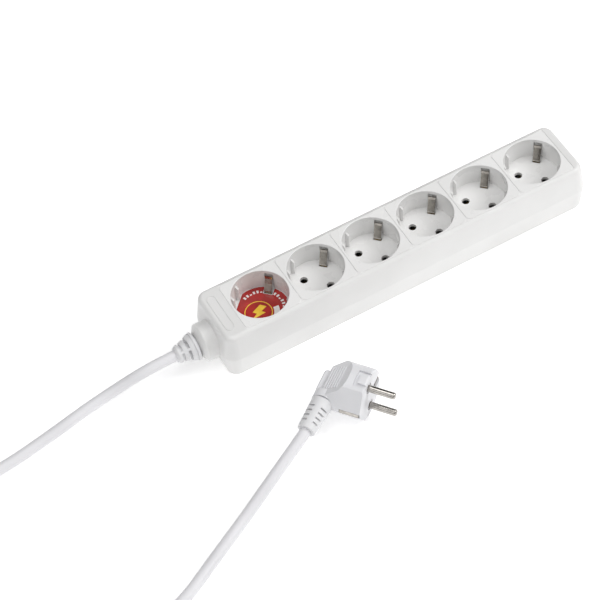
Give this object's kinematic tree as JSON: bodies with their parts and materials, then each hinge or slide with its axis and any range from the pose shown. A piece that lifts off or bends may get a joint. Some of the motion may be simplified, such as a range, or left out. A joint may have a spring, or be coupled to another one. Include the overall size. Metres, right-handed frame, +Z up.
{
  "type": "power strip",
  "caption": "White earthed power strip with a row of round recessed sockets, a bend sleeve and a flexible cord ending in an angled two-pin plug.",
  "frame": {"origin": "middle of the strip's underside (bounding box of the strip with its cord sleeve, without the free cord and plug)", "axes": "+X along the strip away from the cord, +Z up out of the sockets, +Y across the strip"},
  "size_m": [0.5932, 0.196, 0.0403],
  "materials": {
    "white_plastic": "satin moulded white",
    "plug_white": "satin moulded soft PVC",
    "sleeve_white": "satin",
    "cord_white": "satin PVC sheath",
    "clamp_white": "matte",
    "nickel": "polished nickel plate",
    "steel": "zinc plated",
    "brass": "bright rolled strip",
    "label_red": "gloss laminated",
    "wire_brown": "satin",
    "wire_blue": "satin",
    "wire_green_yellow": "satin"
  },
  "bodies": {
    "strip": {"top_cover": "white_plastic", "base_cover": "white_plastic", "housing_screws": "steel", "socket_insert_1": "white_plastic", "socket_insert_2": "white_plastic", "socket_insert_3": "white_plastic", "socket_insert_4": "white_plastic", "socket_insert_5": "white_plastic", "socket_insert_6": "white_plastic", "socket_label": "label_red", "live_busbar": "brass", "neutral_busbar": "brass", "earth_busbar": "brass", "cord_sleeve": "sleeve_white", "cord_inner": "cord_white", "cord_clamp": "clamp_white", "clamp_screws": "steel", "live_wire": "wire_brown", "neutral_wire": "wire_blue", "earth_wire": "wire_green_yellow", "cord_near": "cord_white", "cord_coil": "cord_white", "cord_far": "cord_white", "plug_body": "plug_white", "plug_pin_upper": "nickel", "plug_pin_lower": "nickel", "plug_earth_contacts": "nickel", "plug_sleeve": "sleeve_white"},
    "arm_1a": {"earth_arm_1a": "nickel"},
    "arm_1b": {"earth_arm_1b": "nickel"},
    "arm_2a": {"earth_arm_2a": "nickel"},
    "arm_2b": {"earth_arm_2b": "nickel"},
    "arm_3a": {"earth_arm_3a": "nickel"},
    "arm_3b": {"earth_arm_3b": "nickel"},
    "arm_4a": {"earth_arm_4a": "nickel"},
    "arm_4b": {"earth_arm_4b": "nickel"},
    "arm_5a": {"earth_arm_5a": "nickel"},
    "arm_5b": {"earth_arm_5b": "nickel"},
    "arm_6a": {"earth_arm_6a": "nickel"},
    "arm_6b": {"earth_arm_6b": "nickel"}
  },
  "joints": [
    {"name": "arm_1a_flex", "type": "hinge", "parent": "strip", "child": "arm_1a", "pos_m": [-0.078, 0.01075, 0.0192], "axis": [-0.7071, 0.7071, 0], "range_deg": [0, 6], "stiffness_Nm_per_rad": 1, "springref_deg": -1.72},
    {"name": "arm_1b_flex", "type": "hinge", "parent": "strip", "child": "arm_1b", "pos_m": [-0.0995, -0.01075, 0.0192], "axis": [0.7071, -0.7071, 0], "range_deg": [0, 6], "stiffness_Nm_per_rad": 1, "springref_deg": -1.72},
    {"name": "arm_2a_flex", "type": "hinge", "parent": "strip", "child": "arm_2a", "pos_m": [-0.0352, 0.01075, 0.0192], "axis": [-0.7071, 0.7071, 0], "range_deg": [0, 6], "stiffness_Nm_per_rad": 1, "springref_deg": -1.72},
    {"name": "arm_2b_flex", "type": "hinge", "parent": "strip", "child": "arm_2b", "pos_m": [-0.0567, -0.01075, 0.0192], "axis": [0.7071, -0.7071, 0], "range_deg": [0, 6], "stiffness_Nm_per_rad": 1, "springref_deg": -1.72},
    {"name": "arm_3a_flex", "type": "hinge", "parent": "strip", "child": "arm_3a", "pos_m": [0.0076, 0.01075, 0.0192], "axis": [-0.7071, 0.7071, 0], "range_deg": [0, 6], "stiffness_Nm_per_rad": 1, "springref_deg": -1.72},
    {"name": "arm_3b_flex", "type": "hinge", "parent": "strip", "child": "arm_3b", "pos_m": [-0.0139, -0.01075, 0.0192], "axis": [0.7071, -0.7071, 0], "range_deg": [0, 6], "stiffness_Nm_per_rad": 1, "springref_deg": -1.72},
    {"name": "arm_4a_flex", "type": "hinge", "parent": "strip", "child": "arm_4a", "pos_m": [0.0504, 0.01075, 0.0192], "axis": [-0.7071, 0.7071, 0], "range_deg": [0, 6], "stiffness_Nm_per_rad": 1, "springref_deg": -1.72},
    {"name": "arm_4b_flex", "type": "hinge", "parent": "strip", "child": "arm_4b", "pos_m": [0.0289, -0.01075, 0.0192], "axis": [0.7071, -0.7071, 0], "range_deg": [0, 6], "stiffness_Nm_per_rad": 1, "springref_deg": -1.72},
    {"name": "arm_5a_flex", "type": "hinge", "parent": "strip", "child": "arm_5a", "pos_m": [0.0932, 0.01075, 0.0192], "axis": [-0.7071, 0.7071, 0], "range_deg": [0, 6], "stiffness_Nm_per_rad": 1, "springref_deg": -1.72},
    {"name": "arm_5b_flex", "type": "hinge", "parent": "strip", "child": "arm_5b", "pos_m": [0.0717, -0.01075, 0.0192], "axis": [0.7071, -0.7071, 0], "range_deg": [0, 6], "stiffness_Nm_per_rad": 1, "springref_deg": -1.72},
    {"name": "arm_6a_flex", "type": "hinge", "parent": "strip", "child": "arm_6a", "pos_m": [0.136, 0.01075, 0.0192], "axis": [-0.7071, 0.7071, 0], "range_deg": [0, 6], "stiffness_Nm_per_rad": 1, "springref_deg": -1.72},
    {"name": "arm_6b_flex", "type": "hinge", "parent": "strip", "child": "arm_6b", "pos_m": [0.1145, -0.01075, 0.0192], "axis": [0.7071, -0.7071, 0], "range_deg": [0, 6], "stiffness_Nm_per_rad": 1, "springref_deg": -1.72}
  ]
}
